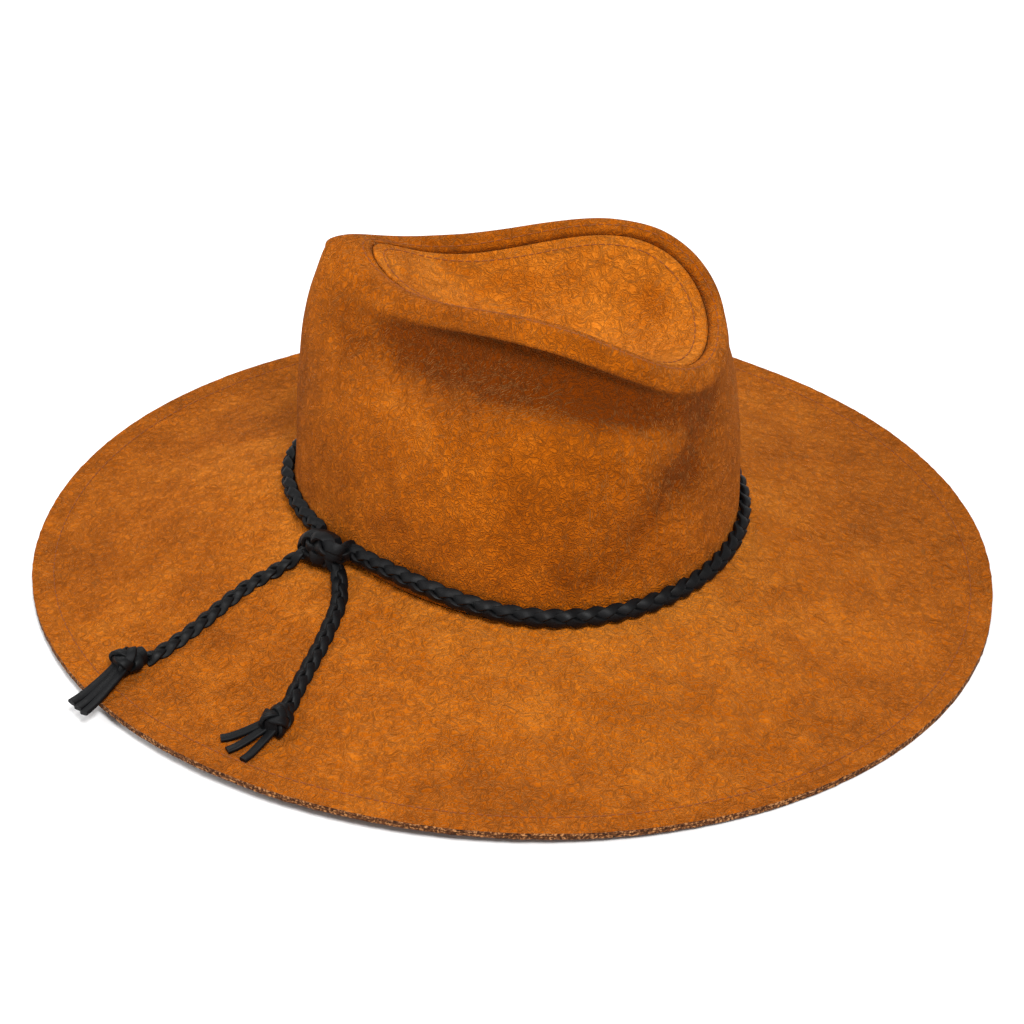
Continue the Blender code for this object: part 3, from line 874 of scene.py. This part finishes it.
def smooth_curve(route, spacing):
    """Points at an even spacing along a smooth curve through the route's own points."""
    fine = refine(np.array(route), ROUTE_STEPS)
    travelled = distances_along(fine)
    places = np.linspace(0.0, travelled[-1], max(2, round(travelled[-1] / spacing) + 1))
    return values_at(places, travelled, fine)


def lace_section():
    """Outline of a flat lace with rounded corners, in halves of its width and thickness."""
    turns = np.arange(LACE_CORNERS) * 2.0 * math.pi / LACE_CORNERS
    across = np.sign(np.cos(turns)) * np.abs(np.cos(turns)) ** LACE_SQUARENESS[0]
    upward = np.sign(np.sin(turns)) * np.abs(np.sin(turns)) ** LACE_SQUARENESS[1]
    return across, upward


def lace(centres, faces_to, width, thickness, roll, tapers=None):
    """Rings of a flat lace along its centres, its flat side towards given directions and then rolled."""
    along = unit(np.gradient(centres, axis=0))
    aside = unit(np.cross(faces_to, along))
    upward = np.cross(along, aside)
    turned_aside = np.cos(roll)[:, None] * aside + np.sin(roll)[:, None] * upward
    turned_up = np.cos(roll)[:, None] * upward - np.sin(roll)[:, None] * aside
    across, lift = lace_section()
    if tapers is None:
        tapers = np.ones(len(centres))
    half_width = 0.5 * width * tapers[:, None, None]
    return (centres[:, None] + half_width * across[None, :, None] * turned_aside[:, None]
            + 0.5 * thickness * lift[None, :, None] * turned_up[:, None])


def tube_faces(rings, first):
    """Quads of a tube through rings, with both ends closed, counted from a first vertex."""
    rows, count = rings.shape[:2]
    faces = [tuple(first + k for k in reversed(range(count)))]
    for row in range(rows - 1):
        faces += ring_quads(first + row * count, first + (row + 1) * count, count).tolist()
    faces.append(tuple(first + (rows - 1) * count + k for k in range(count)))
    return faces


def laces_object(name, all_rings, materials):
    """One object of several laces, each given by its rings."""
    vertices = []
    faces = []
    first = 0
    for rings in all_rings:
        faces += tube_faces(rings, first)
        vertices.append(rings.reshape(-1, 3))
        first += rings.shape[0] * rings.shape[1]
    piece = mesh_object(name, np.concatenate(vertices), faces, materials)
    piece.data.set_sharp_from_angle(angle=math.radians(LACE_SHARP))
    return piece


def plait_laces(path, outward, width, lace_width, plait_length, start_turn=0.0):
    """Three laces plaited along a path, flat side outward."""
    along = unit(np.gradient(path, axis=0))
    aside = unit(np.cross(outward, along))
    upward = np.cross(along, aside)
    travelled = distances_along(path)
    reach = 0.5 * (width - lace_width)
    lift = LACE_LIFT * LACE_THICKNESS
    made = []
    for strand in range(STRANDS):
        turn = 2.0 * math.pi * (travelled / plait_length + strand / STRANDS) + start_turn
        centres = (path + aside * (reach * np.sin(turn))[:, None]
                   + upward * (lift * np.sin(2.0 * turn))[:, None])
        made.append(lace(centres, upward, lace_width, LACE_THICKNESS, -LACE_ROLL * np.sin(turn)))
    return made


def band_path():
    """Middle line of the band round the crown's foot and its outward directions."""
    angle = math.radians(KNOT_ANGLE) + np.linspace(0.0, 2.0 * math.pi, BAND_LINE_POINTS)
    plan = base_plan(angle)
    slope = unit(np.gradient(plan, axis=0))
    out = points(np.stack([slope[:, 1], -slope[:, 0]], axis=1), np.zeros(BAND_LINE_POINTS))
    lifted = BAND_RISE * bump(angle, BAND_RISE_ANGLE, BAND_RISE_SPREAD)
    height = brim_top_at_crown(angle) + GAP + 0.5 * BAND_HEIGHT + lifted
    centre = points(plan, height) + (GAP + 0.5 * BAND_THICKNESS) * out
    travelled = distances_along(centre)
    start = BAND_START * KNOT_LENGTH
    places = np.linspace(start, travelled[-1] - start, BAND_POINTS)
    path = values_at(places, travelled, centre)
    outward = unit(values_at(places, travelled, out) + BAND_FACING_UP * UP)
    return path, outward


def build_band():
    path, outward = band_path()
    laces = plait_laces(path, outward, BAND_HEIGHT, BAND_LACE, PLAIT_LENGTH)
    piece = laces_object("band_plait", laces, [LEATHER])
    finish_piece(piece, "black_leather", "hat_band")


def brim_top_height(along, across):
    """Height of the brim's top at a place in plan, that of the rim beyond the rim."""
    low, high = 0.0, 1.0
    for _ in range(30):
        share = 0.5 * (low + high)
        length = (1.0 - share) * BASE_LENGTH + share * BRIM_LENGTH
        width = (1.0 - share) * BASE_WIDTH + share * BRIM_WIDTH
        taper = ((1.0 - share) * BASE_WIDTH * BASE_TAPER + share * BRIM_WIDTH * BRIM_TAPER) / width
        cosine = max(-1.0, min(1.0, 2.0 * along / length))
        reach = math.hypot(2.0 * along / length, 2.0 * across / (width * (1.0 + taper * cosine)))
        low, high = (share, high) if reach > 1.0 else (low, share)
    angle = math.atan2(across / width, along / length)
    return float(brim_bottom_height(angle, share)) + 2.0 * LAYER_THICKNESS + GAP


def cord_line(route, root):
    """Middle line of a loose end, from inside the knot and then resting on the brim."""
    centre, directions = knot_frame()
    start = centre + MILLIMETRE * np.array(root) @ directions
    rest = TAIL_REST * LACE_THICKNESS
    line = [tuple(start)] + [(x, y, brim_top_height(x, y) + rest + lift) for x, y, lift in route]
    return smooth_curve(line, TAIL_SPACING)


def build_loose_end(name, route, root, node):
    """One of the two loose ends of the plait, which are free cords."""
    path = cord_line(route, root)
    laces = plait_laces(path, upward_at(len(path)), CORD_DIAMETER, TAIL_LACE, TAIL_PLAIT_LENGTH, TAIL_TURN)
    piece = laces_object(name, laces, [LEATHER])
    finish_piece(piece, "black_leather", node)


def upward_at(count):
    return np.tile(UP, (count, 1))


def end_knot_laces(centre, ahead, aside):
    """A lace wound round the end of a cord, and the core inside it."""
    turn = np.linspace(0.0, 2.0 * WRAP_TURNS * math.pi, WRAP_POINTS)
    wave = WRAP_WAVES * turn
    radial = aside * np.cos(turn)[:, None] * WRAP_ASIDE + UP * np.sin(turn)[:, None] * WRAP_UP
    out = unit(aside * np.cos(turn)[:, None] / WRAP_ASIDE + UP * np.sin(turn)[:, None] / WRAP_UP)
    lengthwise = ahead * (WRAP_REACH * np.sin(wave))[:, None]
    line = centre + radial + lengthwise + out * (WRAP_WEAVE * np.sin(2.0 * wave))[:, None]
    wrap = lace(line, out, WRAP_LACE, LACE_THICKNESS, np.zeros(WRAP_POINTS))
    middle = centre + ahead * np.linspace(*END_CORE, CORE_RINGS)[:, None]
    fatness = rounding(END_CORE_ENDS, CORE_RINGS)
    core = lace(middle, upward_at(CORE_RINGS), *END_CORE_SIZE, np.zeros(CORE_RINGS), fatness)
    return [wrap, core]


def strip_lace(start, tip, roll):
    """A free strip from the middle of an end knot down to its tip on the brim."""
    flat = np.array([tip[0] - start[0], tip[1] - start[1]])
    line = []
    for share in np.linspace(0.0, 1.0, STRIP_RINGS):
        place = start[:2] + share * flat
        rest = brim_top_height(*place) + GAP + 0.5 * STRIP_THICKNESS
        height = rest + (start[2] - rest) * max(0.0, 1.0 - share / STRIP_DROP) ** STRIP_DROP_POWER
        line.append(np.append(place, height))
    rolls = np.full(STRIP_RINGS, roll)
    return lace(np.array(line), upward_at(STRIP_RINGS), STRIP_WIDTH, STRIP_THICKNESS, rolls)


def build_tassel(name, route, strips, node):
    """End knot of three laces with their cut ends."""
    end = np.array(route[-1][:2])
    heading = unit(end - np.array(route[-2][:2]))
    plan = end + heading * (0.5 * END_KNOT_LENGTH + GAP)
    centre = np.append(plan, brim_top_height(*plan) + GAP + 0.5 * END_KNOT_HEIGHT)
    ahead = np.append(heading, 0.0)
    aside = np.array([-heading[1], heading[0], 0.0])
    laces = end_knot_laces(centre, ahead, aside)
    for side, tip in zip((-1, 0, 1), strips):
        laces.append(strip_lace(centre + aside * (side * STRIP_APART), tip, side * STRIP_ROLL))
    piece = laces_object(name, laces, [LEATHER])
    return finish_piece(piece, "black_leather", node)


def knot_frame():
    """Middle of the knot on the band and its directions: along the band, outward, across."""
    angle = math.radians(KNOT_ANGLE)
    low, high = base_plan(np.array([angle - SMALL_TURN, angle + SMALL_TURN]))
    tangent = unit(high - low)
    out = np.array([tangent[1], -tangent[0], 0.0])
    level = np.array([-out[1], out[0], 0.0])
    tilt = math.radians(KNOT_TILT)
    along = math.cos(tilt) * level + math.sin(tilt) * UP
    across = math.cos(tilt) * UP - math.sin(tilt) * level
    plan = base_plan(np.array([angle]))[0] + (GAP + 0.5 * KNOT_THICKNESS) * out[:2]
    reach = math.hypot(0.5 * KNOT_HEIGHT * math.cos(tilt), 0.5 * KNOT_LENGTH * math.sin(tilt))
    centre = np.append(plan, brim_top_height(*plan) + GAP + reach)
    return centre, np.array([along, out, across])


def build_band_knot():
    """The knot where the two ends of the band are tied over each other."""
    centre, directions = knot_frame()
    laces = []
    for route, start_turn in ((OVER_LOOP, OVER_TURN), (UNDER_LOOP, UNDER_TURN)):
        local = smooth_curve(np.array(route) * MILLIMETRE, KNOT_SPACING)
        facing = unit(local * KNOT_FACING + KNOT_LIFT)
        laces += plait_laces(centre + local @ directions, facing @ directions,
                             KNOT_PLAIT_WIDTH, KNOT_LACE, KNOT_PLAIT_LENGTH, start_turn)
    core = np.linspace(*KNOT_CORE, CORE_RINGS)[:, None] * np.array([1.0, 0.0, 0.0])
    fatness = rounding(KNOT_CORE_ENDS, CORE_RINGS)
    level = np.zeros(CORE_RINGS)
    middle = centre + core @ directions
    laces.append(lace(middle, upward_at(CORE_RINGS), *KNOT_CORE_SIZE, level, fatness))
    piece = laces_object("knot_plait", laces, [LEATHER])
    finish_piece(piece, "black_leather", "band_knot")


# Stage

def build_stage():
    bpy.ops.mesh.primitive_plane_add(size=FLOOR_SIZE, location=(0.0, 0.0, FLOOR_LEVEL))
    floor = bpy.context.object
    floor.name = "floor"
    floor.data.materials.append(plain_material("pale_floor", FLOOR_COLOUR))
    world = bpy.data.worlds.new("studio")
    world.use_nodes = True
    background = world.node_tree.nodes["Background"]
    background.inputs["Color"].default_value = (1.0, 1.0, 1.0, 1.0)
    background.inputs["Strength"].default_value = WORLD_STRENGTH
    bpy.context.scene.world = world
    for name, place, size, power in LIGHTS:
        light = bpy.data.lights.new(name, "AREA")
        light.shape = "DISK"
        light.size = size
        light.energy = power
        holder = bpy.data.objects.new(name, light)
        holder.location = place
        holder.rotation_euler = (-Vector(place)).to_track_quat("-Z", "Y").to_euler()
        bpy.context.scene.collection.objects.link(holder)
    bpy.context.scene.view_settings.view_transform = "Standard"


def build_camera():
    azimuth = math.radians(CAMERA_AZIMUTH)
    elevation = math.radians(CAMERA_ELEVATION)
    back = Vector((math.sin(azimuth) * math.cos(elevation), -math.cos(azimuth) * math.cos(elevation),
                   math.sin(elevation)))
    camera = bpy.data.objects.new("camera", bpy.data.cameras.new("camera"))
    camera.data.lens = CAMERA_LENS
    camera.data.shift_x, camera.data.shift_y = CAMERA_SHIFT
    camera.location = CAMERA_DISTANCE * back
    camera.rotation_euler = (-camera.location).to_track_quat("-Z", "Y").to_euler()
    bpy.context.scene.collection.objects.link(camera)
    bpy.context.scene.camera = camera


build_camera()
build_stage()
front_tassel = build_tassel("front_tassel", FRONT_ROUTE, FRONT_STRIPS, "tassel_front")
back_tassel = build_tassel("back_tassel", BACK_ROUTE, BACK_STRIPS, "tassel_back")
build_loose_end("front_end_plait", FRONT_ROUTE, FRONT_ROOT, "cord_end_front")
build_loose_end("back_end_plait", BACK_ROUTE, BACK_ROOT, "cord_end_back")
build_band()
build_band_knot()
build_crown()
build_brim()
